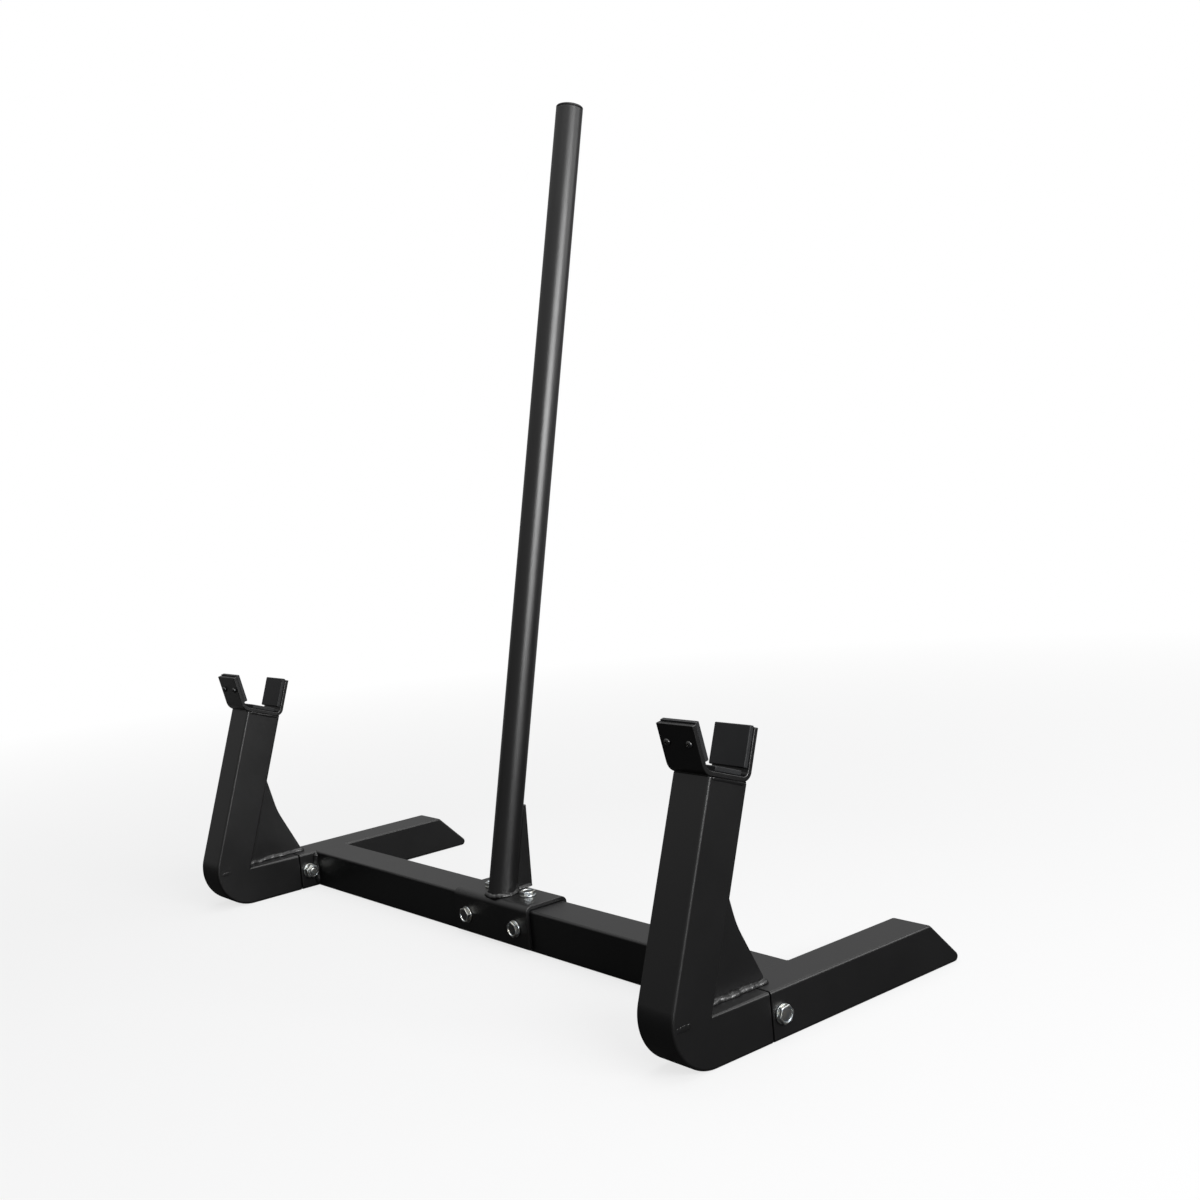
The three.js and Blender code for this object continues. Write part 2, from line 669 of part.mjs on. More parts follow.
function handle() {
  const group = new THREE.Group();
  const bracketTop = tubeSize + gap + bracketPlate;
  const base = bracketTop + gap;
  const sin = Math.sin(handleLean);
  const cos = Math.cos(handleLean);
  const under = 2 * handleRadius;
  const tube = new THREE.LatheGeometry([
    new THREE.Vector2(handleRadius - handleWall, -under),
    new THREE.Vector2(handleRadius, -under),
    new THREE.Vector2(handleRadius, handleLength),
    new THREE.Vector2(handleRadius - handleWall, handleLength),
    new THREE.Vector2(handleRadius - handleWall, -under),
  ], 36).rotateX(Math.PI / 2).rotateX(-handleLean).translate(0, handleY, bracketTop);
  const floor = toSolid(box(-tubeSize, tubeSize, -tubeSize, tubeSize, 0, base));
  group.add(piece('handle_tube', toGeometry(toSolid(tube).subtract(floor)), blackPaint));

  // The gusset fills the wedge between the leaning tube and the back edge of the bracket.
  const slope = sin / cos;
  const tubeFace = (z) => handleY + (handleRadius + gap) / cos + (z - bracketTop) * slope;
  const plate = extrude(polygon([
    [tubeFace(base), base],
    [handleGussetBack, base],
    [tubeFace(handleGussetTop) + handleGussetTip, handleGussetTop],
    [tubeFace(handleGussetTop), handleGussetTop],
  ]), handleGussetThickness).applyMatrix4(alongX);
  group.add(piece('handle_gusset', plate, blackPaint));
  const cap = endCapGeometry().translate(0, 0, handleLength).rotateX(-handleLean);
  group.add(piece('handle_end_cap', cap.translate(0, handleY, bracketTop), capPlastic));
  return group;
}

// Assembly

const deadliftJack = new THREE.Group();
deadliftJack.add(
  crossBeam(),
  sideFrame('left', -1),
  sideFrame('right', 1),
  handleBracket(),
  bracketFasteners(),
  handle(),
);

export default deadliftJack;
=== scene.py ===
import math

import bmesh
import bpy
from mathutils import Matrix, Vector, noise


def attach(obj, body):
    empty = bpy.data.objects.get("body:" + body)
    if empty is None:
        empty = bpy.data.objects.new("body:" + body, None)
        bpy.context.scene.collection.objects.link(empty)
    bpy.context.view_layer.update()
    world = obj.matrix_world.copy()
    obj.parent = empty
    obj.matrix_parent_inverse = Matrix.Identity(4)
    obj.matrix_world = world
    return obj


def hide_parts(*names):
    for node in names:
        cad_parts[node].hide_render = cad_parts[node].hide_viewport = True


print("loading the packed jack")
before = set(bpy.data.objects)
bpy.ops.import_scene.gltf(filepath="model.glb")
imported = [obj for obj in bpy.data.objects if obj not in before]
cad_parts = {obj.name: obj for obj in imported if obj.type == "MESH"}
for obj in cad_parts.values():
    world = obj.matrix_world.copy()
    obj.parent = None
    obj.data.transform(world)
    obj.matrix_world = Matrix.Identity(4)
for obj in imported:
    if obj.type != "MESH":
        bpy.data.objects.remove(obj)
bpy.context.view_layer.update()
mm = 0.001

# sizes of the jack that several pieces share, in millimetres
jack = {
    "tube": 50, "corner": 3, "frameCentre": 465, "gap": 0.3, "overrun": 20,
    "footFront": -50.4, "legEnd": -52, "seamEdge": 1.0,
    "heel": -125.5, "lean": math.radians(19), "upright": 212.5,
    "bracketTop": 55.3, "handleY": -10, "handleLean": math.radians(13.2), "handleLength": 973,
    "handleRadius": 16.85,
}
sides = {"left": -1, "right": 1}

# directions along the leaning upright, and square to it towards the back
upUpright = Vector((0, math.sin(jack["lean"]), math.cos(jack["lean"])))
backUpright = Vector((0, math.cos(jack["lean"]), -math.sin(jack["lean"])))


# shader nodes

class Signal:  # one socket, so that shader maths reads as plain arithmetic
    def __init__(self, nodes, socket):
        self.nodes, self.socket = nodes, socket

    def maths(self, operation, *inputs):
        return self.nodes.signal("Math", {"operation": operation}, dict(enumerate(inputs)))

    def __add__(self, other):
        return self.maths("ADD", self, other)

    def __radd__(self, other):
        return self.maths("ADD", other, self)

    def __sub__(self, other):
        return self.maths("SUBTRACT", self, other)

    def __rsub__(self, other):
        return self.maths("SUBTRACT", other, self)

    def __mul__(self, other):
        return self.maths("MULTIPLY", self, other)

    def __rmul__(self, other):
        return self.maths("MULTIPLY", other, self)

    def __truediv__(self, other):
        return self.maths("DIVIDE", self, other)

    def clamp(self):
        return self.maths("MINIMUM", self.maths("MAXIMUM", self, 0), 1)

    def step(self, low, high):
        return ((self - low) / (high - low)).clamp()


class Nodes:  # a node tree and the one way its nodes are made
    def __init__(self, tree):
        self.tree = tree

    def node(self, kind, settings=None, sockets=None):
        made = self.tree.nodes.new("ShaderNode" + kind)
        for key, value in (settings or {}).items():
            if key == "stops":
                ramp = made.color_ramp.elements
                for element, (place, colour) in zip(ramp, value):
                    element.position, element.color = place, colour
            else:
                setattr(made, key, value)
        for key, value in (sockets or {}).items():
            if isinstance(value, Signal):
                self.tree.links.new(value.socket, made.inputs[key])
            else:
                made.inputs[key].default_value = value
        return made

    def signal(self, kind, settings=None, sockets=None, output=0):
        return Signal(self, self.node(kind, settings, sockets).outputs[output])

    def rays(self):  # 1 where the camera looks straight at it, and 1 where gloss or glass shows it
        path = self.node("LightPath")
        camera, glossy, clear = [Signal(self, path.outputs[f"Is {kind} Ray"])
                                 for kind in ("Camera", "Glossy", "Transmission")]
        return camera, glossy + clear


class Finish(Nodes):  # a material and what its patterns are made from
    def __init__(self, name, **constants):
        self.material = bpy.data.materials.new(name)
        self.material.use_nodes = True
        super().__init__(self.material.node_tree)
        self.shader = self.tree.nodes["Principled BSDF"]
        for socket, value in constants.items():
            self.shader.inputs[socket.replace("_", " ")].default_value = value

    def place(self):  # metres, in the jack's own frame
        return self.signal("TexCoord", output="Object")

    def grain(self, scale, detail=2.0, rough=0.5, seed=0.0, stretch=None):
        where = self.place()
        if stretch or seed:
            where = self.signal("Mapping", {}, {"Vector": where, "Location": (seed, seed, seed),
                                                "Scale": stretch or (1, 1, 1)})
        return self.signal("TexNoise", {}, {"Vector": where, "Scale": scale, "Detail": detail,
                                            "Roughness": rough})

    def colours(self, factor, low, high):
        return self.signal("ValToRGB", {"stops": [(0.0, (*low, 1)), (1.0, (*high, 1))]}, {"Fac": factor})

    def put(self, **links):
        for socket, value in links.items():
            self.tree.links.new(value.socket, self.shader.inputs[socket.replace("_", " ")])

    def bump(self, height, depth, strength=1.0):
        self.put(Normal=self.signal("Bump", {}, {"Height": height, "Distance": depth, "Strength": strength}))


# finishes: pattern sizes are noise scales per metre, and relief is in metres
# noise averages about a half, so a roughness sum ends by taking off about what its patterns add

print("materials")
powder = {"peel": 1050, "speckle": 5200, "cloud": 9, "dark": 0.86, "light": 1.14, "relief": 0.00011}
plating = {"drift": 240, "scratch": 2600, "drawn": (1, 1, 0.12), "relief": 0.00003}
moulding = {"drift": 30, "dark": 0.88, "light": 1.15, "relief": 0.00012}


def powderCoat(name, shade, gloss):
    # sprayed and baked powder: orange peel about a millimetre wide over a finer speckle
    paint = Finish(name, Specular_IOR_Level=0.5, IOR=1.6)
    peel = paint.grain(powder["peel"], 1.5, 0.45)
    speckle = paint.grain(powder["speckle"], 1.0, 0.5, 3.0)
    cloud = paint.grain(powder["cloud"], 3.0, 0.6, 5.0)
    dark, light = [[c * powder[level] for c in shade] for level in ("dark", "light")]
    paint.put(Base_Color=paint.colours(cloud.step(0.3, 0.7), dark, light))
    paint.put(Roughness=gloss + cloud * 0.1 + speckle * 0.05 - 0.07)
    paint.bump(peel + speckle * 0.25, powder["relief"], 0.5)
    return paint.material


def zincPlate(name, tint, gloss):
    # bright zinc: clear metal with a faint blue and straw drift and fine drawn scratches
    zinc = Finish(name, Metallic=1.0)
    drift = zinc.grain(plating["drift"], 2.0, 0.6)
    scratch = zinc.grain(plating["scratch"], 2.0, 0.7, 2.0, plating["drawn"])
    red, green, blue = tint
    cool, straw = (red * 0.9, green * 0.97, blue * 1.02), (red * 1.04, green, blue * 0.88)
    zinc.put(Base_Color=zinc.colours(drift.step(0.35, 0.65), cool, straw))
    zinc.put(Roughness=gloss + drift * 0.14 + scratch * 0.1 - 0.1)
    zinc.bump(scratch + drift * 0.6, plating["relief"], 0.5)
    return zinc.material


def mouldedPlastic(name, shade, gloss, grainScale):
    # moulded plastic: a fine leathery texture from the tool, slightly uneven in sheen
    plastic = Finish(name, Specular_IOR_Level=0.38)
    texture = plastic.grain(grainScale, 2.0, 0.55)
    drift = plastic.grain(moulding["drift"], 2.0, 0.5, 4.0)
    dark, light = [[c * moulding[level] for c in shade] for level in ("dark", "light")]
    plastic.put(Base_Color=plastic.colours(drift.step(0.3, 0.7), dark, light))
    plastic.put(Roughness=gloss + drift * 0.12 + texture * 0.06 - 0.09)
    plastic.bump(texture, moulding["relief"], 0.6)
    return plastic.material


finishes = {
    "paint": powderCoat("black powder coat", (0.0030, 0.0030, 0.0032), 0.355),
    "weld": powderCoat("coated weld", (0.0030, 0.0030, 0.0032), 0.34),
    "zinc": zincPlate("bright zinc", (0.70, 0.71, 0.72), 0.29),
    "nut": zincPlate("zinc lock nut", (0.42, 0.43, 0.44), 0.44),
    # painted shade: a darkened zinc for the discs that darken each bolt head's recess
    "recessShade": zincPlate("zinc painted with recess shade", (0.13, 0.13, 0.135), 0.52),
    "screw": zincPlate("blackened screw", (0.10, 0.10, 0.105), 0.36),
    "pad": mouldedPlastic("saddle pad plastic", (0.010, 0.0105, 0.0115), 0.52, 2600),
    "cap": mouldedPlastic("end cap plastic", (0.008, 0.008, 0.0085), 0.42, 1900),
    "nylon": mouldedPlastic("lock ring nylon", (0.035, 0.036, 0.04), 0.45, 2200),
}


# shared shape tools

def arc(middle, radius, start, end, steps):
    return [(middle[0] + radius * math.cos(start + (end - start) * i / steps),
             middle[1] + radius * math.sin(start + (end - start) * i / steps)) for i in range(steps + 1)]


def inset(outline, depth):  # moves each side of a closed outline inwards
    moved = []
    for i, point in enumerate(outline):
        before, after = Vector(outline[i - 1]), Vector(outline[(i + 1) % len(outline)])
        here = Vector(point)
        a, b = (here - before).normalized(), (after - here).normalized()
        inA, inB = Vector((-a.y, a.x)), Vector((-b.y, b.x))
        moved.append(here + (inA + inB) * (depth / (1 + inA.dot(inB))))
    return [tuple(point) for point in moved]


def turnsLeft(outline):
    area = sum(a[0] * b[1] - b[0] * a[1] for a, b in zip(outline, outline[1:] + outline[:1]))
    return outline if area > 0 else outline[::-1]


def skin(rings, closed=False, capped=True):  # joins rings of points, in millimetres, into one mesh
    mesh = bmesh.new()
    rows = [[mesh.verts.new(Vector(point) * mm) for point in ring] for ring in rings]
    count = len(rows[0])
    pairs = list(zip(rows, rows[1:])) + ([(rows[-1], rows[0])] if closed else [])
    for low, high in pairs:
        for i in range(count):
            j = (i + 1) % count
            mesh.faces.new((low[i], low[j], high[j], high[i]))
    if capped and not closed:
        mesh.faces.new(rows[0][::-1])
        mesh.faces.new(rows[-1])
    bmesh.ops.recalc_face_normals(mesh, faces=mesh.faces)
    return mesh


def slab(outline, width, edge, steps):  # an outline in (y, z) made solid along X, with rounded edges
    outline = turnsLeft(outline)
    layers = []
    for i in range(steps + 1):
        turn = i / steps * math.pi / 2
        layers.append((edge * (1 - math.cos(turn)) - width / 2, edge * (1 - math.sin(turn))))
    layers += [(-x, depth) for x, depth in reversed(layers)]
    return skin([[(x, y, z) for y, z in inset(outline, depth)] for x, depth in layers])


def cutOff(mesh, point, normal):  # cuts away what lies beyond a plane and closes the cut
    geometry = mesh.verts[:] + mesh.edges[:] + mesh.faces[:]
    bmesh.ops.bisect_plane(mesh, geom=geometry, plane_co=Vector(point) * mm, plane_no=Vector(normal),
                           clear_outer=True, dist=1e-7)
    rim = [edge for edge in mesh.edges if edge.is_boundary]
    bmesh.ops.edgenet_fill(mesh, edges=rim)
    bmesh.ops.recalc_face_normals(mesh, faces=mesh.faces)


def softenCuts(mesh, width):  # rounds the sharp corners that a cut leaves
    sharpest = math.radians(55)
    corners = [edge for edge in mesh.edges if len(edge.link_faces) == 2 and edge.calc_face_angle() > sharpest]
    bmesh.ops.bevel(mesh, geom=corners, offset=width * mm, segments=3, profile=0.5, affect="EDGES",
                    clamp_overlap=True)


def spun(profile, steps, modulate=None):
    # (radius, height) turned round Z; modulate changes a radius by its height and angle
    rings = []
    for radius, height in profile:
        ring = []
        for i in range(steps):
            angle = 2 * math.pi * i / steps
            reach = modulate(radius, height, angle) if modulate else radius
            ring.append((reach * math.cos(angle), reach * math.sin(angle), height))
        rings.append(ring)
    return rings


def hexReach(reach, angle):  # how far a hexagon's side is from its axis at an angle
    return reach / math.cos((angle % (math.pi / 3)) - math.pi / 6)


def piece(name, mesh, finish, stands=(), place=None, sharp=32):
    data = bpy.data.meshes.new(name)
    if place is not None:
        bmesh.ops.transform(mesh, matrix=place, verts=mesh.verts)
    mesh.to_mesh(data)
    mesh.free()
    data.shade_smooth()
    data.set_sharp_from_angle(angle=math.radians(sharp))
    made = bpy.data.objects.new(name, data)
    bpy.context.collection.objects.link(made)
    data.materials.append(finishes[finish])
    smooth = made.modifiers.new("flat faces stay flat", "WEIGHTED_NORMAL")
    smooth.keep_sharp = True
    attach(made, "root")
    if stands:
        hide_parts(*stands)
    return made


def aside(hand):  # the place of a side frame
    return Matrix.Translation((hand * jack["frameCentre"] * mm, 0, 0))


def facing(direction, point):  # a place whose Z points along a direction, in millimetres
    turn = Vector((0, 0, 1)).rotation_difference(Vector(direction)).to_matrix().to_4x4()
    return Matrix.Translation(Vector(point) * mm) @ turn


def bored(target, place, radius, length):  # drills a round hole along the place's own Z
    mesh = bmesh.new()
    bmesh.ops.create_cone(mesh, cap_ends=True, segments=40, radius1=radius * mm, radius2=radius * mm,
                          depth=length * mm)
    bmesh.ops.transform(mesh, matrix=place, verts=mesh.verts)
    data = bpy.data.meshes.new("drill")
    mesh.to_mesh(data)
    mesh.free()
    drill = bpy.data.objects.new("drill", data)
    bpy.context.collection.objects.link(drill)
    cut = target.modifiers.new("hole", "BOOLEAN")
    cut.object, cut.operation, cut.solver = drill, "DIFFERENCE", "EXACT"
    target.modifiers.move(len(target.modifiers) - 1, 0)
    with bpy.context.temp_override(object=target, active_object=target, selected_objects=[target]):
        bpy.ops.object.modifier_apply(modifier=cut.name)
    bpy.data.objects.remove(drill)
    target.data.set_sharp_from_angle(angle=math.radians(32))


# weld beads

# how every bead is laid: step, wander, drift and sweep are lengths along it in millimetres
laying = {"step": 0.6, "fewest": 24, "slices": 12, "wander": 9.0, "drift": 6.0, "sweep": 1.7, "uneven": 0.25}


def bead(name, path, toward, seed, size, closed=False, pitch=4.2, lump=0.16, crown=0.24, ripples=0.055):
    # a fillet along a path: toward holds the two directions in which the welded faces run,
    # or finds them at a point, and seed gives each bead its own lumps
    points = [Vector(p) for p in path]
    spans = list(zip(points, points[1:] + points[:1])) if closed else list(zip(points, points[1:]))
    lengths = [(b - a).length for a, b in spans]
    total = sum(lengths)
    count = max(laying["fewest"], int(total / laying["step"]))
    rings = []
    for i in range(count + (0 if closed else 1)):
        run = total * i / count
        span, before = 0, 0.0
        while span < len(spans) - 1 and before + lengths[span] < run:
            before += lengths[span]
            span += 1
        here = spans[span][0].lerp(spans[span][1], min(1.0, (run - before) / lengths[span]))
        faceA, faceB = [Vector(v) for v in (toward(here) if callable(toward) else toward)]
        fade = 1.0 if closed else math.sqrt(min(1.0, min(run, total - run) / size + 0.01))
        ring = []
        for step in range(laying["slices"] + 1):
            turn = step / laying["slices"]
            belly = math.sin(math.pi * turn)
            wander = noise.noise(Vector((run / laying["wander"], turn * 0.8, seed * 3.1)))
            drift = noise.noise(Vector((run / laying["drift"], seed * 1.7, 2.0)))
            phase = (run + laying["sweep"] * belly) / pitch + laying["uneven"] * drift
            ripple = 1 - abs(2 * (phase % 1) - 1) ** 2
            reach = size * fade * (1 + lump * wander) * (1 + crown * belly + ripples * ripple * belly)
            ring.append(here + (faceA * (1 - turn) + faceB * turn) * reach)
        ring.append(here - (faceA + faceB) * 0.5)
        rings.append(ring)
    made = piece(name, skin(rings, closed=closed), "weld", sharp=75)
    made.modifiers.clear()


# side frames

rearFoot = {"toe": 237.5, "toeRadius": 5.5, "browRadius": 9, "endPlate": 3.2, "plateSeam": 0.05}


def elbowOutline():  # the whole leg, heel and upright seen from the side, run on past both ends
    lean, heel, tube = jack["lean"], jack["heel"], jack["tube"]
    along = Vector((math.sin(lean), math.cos(lean)))
    across = Vector((-math.cos(lean), math.sin(lean))) * tube
    corner = Vector((heel, tube))
    top = corner + along * (jack["upright"] + jack["overrun"])
    end = jack["legEnd"] + jack["overrun"]
    heelArc = arc((heel, tube), tube, 1.5 * math.pi, math.pi - lean, 40)
    return [(end, 0), *heelArc, tuple(top + across), tuple(top), tuple(corner), (end, tube)]


def uprightPoint(u, v):
    # a point in (y, z), from the upright's top centre: u across it to the back, and v along it
    lean, tube, upright = jack["lean"], jack["tube"], jack["upright"]
    topY = jack["heel"] + upright * math.sin(lean) - tube / 2 * math.cos(lean)
    topZ = tube + upright * math.cos(lean) + tube / 2 * math.sin(lean)
    return (topY + u * math.cos(lean) + v * math.sin(lean), topZ - u * math.sin(lean) + v * math.cos(lean))


def footOutline():
    toe, radius, brow, tube = rearFoot["toe"], rearFoot["toeRadius"], rearFoot["browRadius"], jack["tube"]
    front = jack["footFront"] - jack["overrun"]
    back = toe - radius * math.tan(math.radians(67.5))
    rounded = arc((back, radius), radius, -math.pi / 2, math.pi / 4, 14)
    shoulder = toe - tube - brow * math.tan(math.radians(22.5))
    dressed = arc((shoulder, tube - brow), brow, math.pi / 4, math.pi / 2, 8)
    return [(front, 0), *rounded, *dressed, (front, tube)]


print("side frames")
for side, hand in sides.items():
    place = aside(hand)
    elbow = slab(elbowOutline(), jack["tube"], jack["corner"], 8)
    cutOff(elbow, (0, jack["legEnd"], 0), (0, 1, 0))
    cutOff(elbow, (0, *uprightPoint(0, 0)), upUpright)
    softenCuts(elbow, jack["seamEdge"])
    piece("elbow_" + side, elbow, "paint", ["side_leg_" + side, "side_upright_" + side], place)

    slope = Vector((0, 1, 1)).normalized()
    onSlope = Vector((0, rearFoot["toe"], 0))
    foot = slab(footOutline(), jack["tube"], jack["corner"], 8)
    cutOff(foot, (0, jack["footFront"], 0), (0, -1, 0))
    softenCuts(foot, jack["seamEdge"])
    plate = foot.copy()
    cutOff(foot, onSlope - slope * (rearFoot["endPlate"] + rearFoot["plateSeam"]), slope)
    cutOff(plate, onSlope - slope * (rearFoot["endPlate"] - rearFoot["plateSeam"]), -slope)
    piece("foot_" + side, foot, "paint", ["rear_foot_" + side], place)
    piece("foot_cover_" + side, plate, "paint", ["foot_end_plate_" + side], place)

# gussets of the side frames

gusset = {"thickness": 6, "rise": 132, "end": -37, "nose": 7, "tip": 3, "bend": (-65.5, 115), "bendReach": 12,
          "edge": 0.9}
legWeld = {"size": 4.9, "pitch": 6.5, "lump": 0.34, "crown": 0.42, "ripples": 0.10}
legWeldNose = {"start": 3, "behind": 0.9, "round": 0.8, "steps": 8, "from": 1.5, "over": 2.3}
uprightWeld = {"size": 4.4, "start": 5, "stop": 1}
heelMark = {"size": 2.6, "pitch": 5.0, "lump": 0.6, "crown": 1.0, "ripples": 0.6}
heelMarkPlace = {"from": 46, "to": 27, "sunk": 0.44, "below": 0.5, "outwards": 0.1, "along": 0.9}


def gussetOutline():
    lean, gap = jack["lean"], jack["gap"]
    corner = Vector((jack["heel"] + gap * (1 + math.sin(lean)) / math.cos(lean), jack["tube"] + gap))
    top = corner + Vector((math.sin(lean), math.cos(lean))) * gusset["rise"]
    tip = top + Vector((math.cos(lean), -math.sin(lean))) * gusset["tip"]
    nose = Vector((gusset["end"], corner.y + gusset["nose"]))
    bend, reach = Vector(gusset["bend"]), gusset["bendReach"]
    start, end = bend + (nose - bend).normalized() * reach, bend + (tip - bend).normalized() * reach
    curve = [tuple(start.lerp(bend, t).lerp(bend.lerp(end, t), t)) for t in (0, 0.2, 0.4, 0.6, 0.8, 1)]
    return [tuple(corner), (gusset["end"], corner.y), tuple(nose), *curve, tuple(tip), tuple(top)]


def gussetWelds(side, hand, outline):
    half, x0, gap = gusset["thickness"] / 2, hand * jack["frameCentre"], jack["gap"]
    corner, top = Vector(outline[0]), Vector(outline[-1])
    floorLevel, end = corner.y - gap, gusset["end"] - legWeldNose["behind"]
    first, steps = corner.x + legWeldNose["start"], legWeldNose["steps"]
    nose = [(x0 + half * math.cos(t), end + legWeldNose["round"] * math.sin(t), floorLevel)
            for t in [i * math.pi / steps for i in range(steps + 1)]]
    around = [(x0 + half, first, floorLevel), *nose, (x0 - half, first, floorLevel)]

    def fromGusset(point):  # straight out of either face, and fanning round the nose
        turn = max(0.0, min(1.0, (point.y - end + legWeldNose["from"]) / legWeldNose["over"]))
        sideways = Vector((point.x - x0, 0, 0)).normalized() * math.sqrt(max(0.0, 1 - turn))
        return (sideways + Vector((0, turn, 0))).normalized(), (0, 0, 1)

    bead("leg_weld_" + side, around, fromGusset, 5 + hand, **legWeld)
    start, stop = uprightWeld["start"], uprightWeld["stop"]
    for face, word in ((-hand, "in"), (hand, "out")):
        x = x0 + face * half
        rise = [(x, corner.x - gap + start * upUpright.y, corner.y + start * upUpright.z),
                (x, top.x - gap - stop * upUpright.y, top.y - stop * upUpright.z)]
        directions = ((face, 0, 0), backUpright)
        bead(f"upright_weld_{word}_{side}", rise, directions, 9 + face + hand, uprightWeld["size"])


def heelMarks(side, hand):  # the mitre of leg and upright, welded and ground nearly flush
    for face, word in ((-1, "left"), (1, "right")):
        x = hand * jack["frameCentre"] + face * (jack["tube"] / 2 - heelMarkPlace["sunk"])
        z = jack["tube"] - heelMarkPlace["below"]
        line = [(x, jack["heel"] - heelMarkPlace[end], z) for end in ("from", "to")]
        out, along = face * heelMarkPlace["outwards"], heelMarkPlace["along"]
        flat = ((out, 0, along), (out, 0, -along))
        bead(f"heel_dressing_{word}_{side}", line, flat, 83 + face + 2 * hand, **heelMark)


print("gussets and their welds")
for side, hand in sides.items():
    outline = gussetOutline()
    sheet = slab(outline, gusset["thickness"], gusset["edge"], 4)
    piece("gusset_" + side, sheet, "paint", ["side_gusset_" + side], aside(hand))
    gussetWelds(side, hand, outline)
    heelMarks(side, hand)

# cross beam

beam = {"reach": 439.7, "endEdge": 0.5, "weld": 5.0, "weldFrom": 1.5, "weldTo": 49.2}

# the fill between the foot's rounded edge and the beam's end: its section as (outwards, depth)
groove = {
    "half": 22.5, "steps": 60, "depth": 0.12, "swell": 0.12, "swellLength": 6.0,
    "section": ((3.5, 0.25), (2.8, 0.0), (1.8, -0.12), (0.6, -0.18), (-1.0, -0.1), (-2.0, 0.22), (-0.4, 2.4),
                (1.5, 2.4)),
}


def roundedSquare(size, radius, middle, steps):
    half = size / 2 - radius
    y, z = middle
    points = []
    for i, (sy, sz) in enumerate(((1, 1), (-1, 1), (-1, -1), (1, -1))):
        corner = (y + sy * half, z + sz * half)
        points += arc(corner, radius, i * math.pi / 2, (i + 1) * math.pi / 2, steps)
    return points


def filledGroove(x, hand, level):  # dressed flush on the beam's underside (level 0) or its top (level 1)
    rings = []
    for i in range(groove["steps"] + 1):
        y = -groove["half"] + 2 * groove["half"] * i / groove["steps"]
        swell = groove["swell"] * noise.noise(Vector((y / groove["swellLength"], hand, level)))
        ring = []
        for outwards, deep in groove["section"]:
            depth = groove["depth"] + deep - swell * 0.6
            z = jack["tube"] - depth if level else max(depth, groove["depth"])
            ring.append((x + hand * outwards, y, z))
        rings.append(ring)
    return skin(rings)


print("cross beam")
section = roundedSquare(jack["tube"], jack["corner"], (0, jack["tube"] / 2), 8)
piece("beam", slab(section, 2 * beam["reach"], beam["endEdge"], 2), "paint", ["cross_beam"])
for side, hand in sides.items():
    x = hand * (jack["frameCentre"] - jack["tube"] / 2)
    for face, word in ((-1, "front"), (1, "back")):
        edge = [(x, face * jack["tube"] / 2, beam[end]) for end in ("weldFrom", "weldTo")]
        bead(f"beam_weld_{word}_{side}", edge, ((-hand, 0, 0), (0, face, 0)), 20 + face + hand, beam["weld"])
    for level, word in ((0, "under"), (1, "top")):
        piece(f"beam_groove_{word}_{side}", filledGroove(x, hand, level), "weld", sharp=60)

# saddles

saddle = {"width": 50, "plate": 5, "flare": math.radians(31), "frontFoot": -30.7, "frontHeight": 41,
          "frontBend": 10, "backFace": 28.2, "backHeight": 52, "backBend": 5, "edge": 0.95}
pad = {"thick": 5, "rise": 1.2, "gap": 0.1, "margin": 2, "edge": 0.9, "soft": 1.2, "front": 38.7,
       "backFoot": 13.3, "back": 40.2, "floorFront": -18, "floorLevel": 5.6, "floor": 34}
padScrew = {"radius": 3.8, "height": 2.2, "socket": 1.25, "shank": 2.0, "length": 8, "spread": 15,
            "front": 25, "back": 32, "floor": -1, "seat": 0.3, "hole": 4.5, "holeDepth": 10}
saddleWeld = {"size": 2.8, "half": 23.5, "under": 24.2, "below": -0.2}
saddleSideWeld = {"size": 2.0, "pitch": 3.6, "lump": 0.3}
saddleSideWeldPlace = {"half": 21, "below": -0.9}


def saddleOutline():
    flare, plate, gap = saddle["flare"], saddle["plate"], jack["gap"]
    outer = saddle["frontBend"] + plate
    sweep = math.pi / 2 - flare
    bendU = saddle["frontFoot"] + outer * math.tan(sweep / 2)
    length = (saddle["frontHeight"] - gap) / math.cos(flare)
    top = (saddle["frontFoot"] - length * math.sin(flare), gap + length * math.cos(flare))
    inner = (top[0] + plate * math.cos(flare), top[1] + plate * math.sin(flare))
    backOuter = saddle["backBend"] + plate
    backU = saddle["backFace"] - backOuter
    backTop = gap + saddle["backHeight"]
    return [(saddle["backFace"], backTop), (saddle["backFace"] - plate, backTop),
            *arc((backU, gap + backOuter), saddle["backBend"], 0, -math.pi / 2, 10),
            *arc((bendU, gap + outer), saddle["frontBend"], -math.pi / 2, -math.pi / 2 - sweep, 14),
            inner, top,
            *arc((bendU, gap + outer), outer, -math.pi / 2 - sweep, -math.pi / 2, 14),
            *arc((backU, gap + backOuter), backOuter, -math.pi / 2, 0, 10)]


def padOutline(start, angle, length):  # a flat strip whose thickness lies to the left of its run
    run, off = Vector((math.cos(angle), math.sin(angle))), Vector((-math.sin(angle), math.cos(angle)))
    soft, thick = pad["soft"], pad["thick"]
    local = [(0, 0), (length, 0), *arc((length - soft, thick - soft), soft, 0, math.pi / 2, 5),
             *arc((soft, thick - soft), soft, math.pi / 2, math.pi, 5)]
    return [tuple(Vector(start) + run * a + off * b) for a, b in local]


def onSaddle(hand):  # from the saddle's own frame, u to the back and v along the upright, to the jack's
    y, z = uprightPoint(0, 0)
    turn = Matrix.Rotation(-jack["lean"], 4, "X")
    return Matrix.Translation((hand * jack["frameCentre"] * mm, y * mm, z * mm)) @ turn


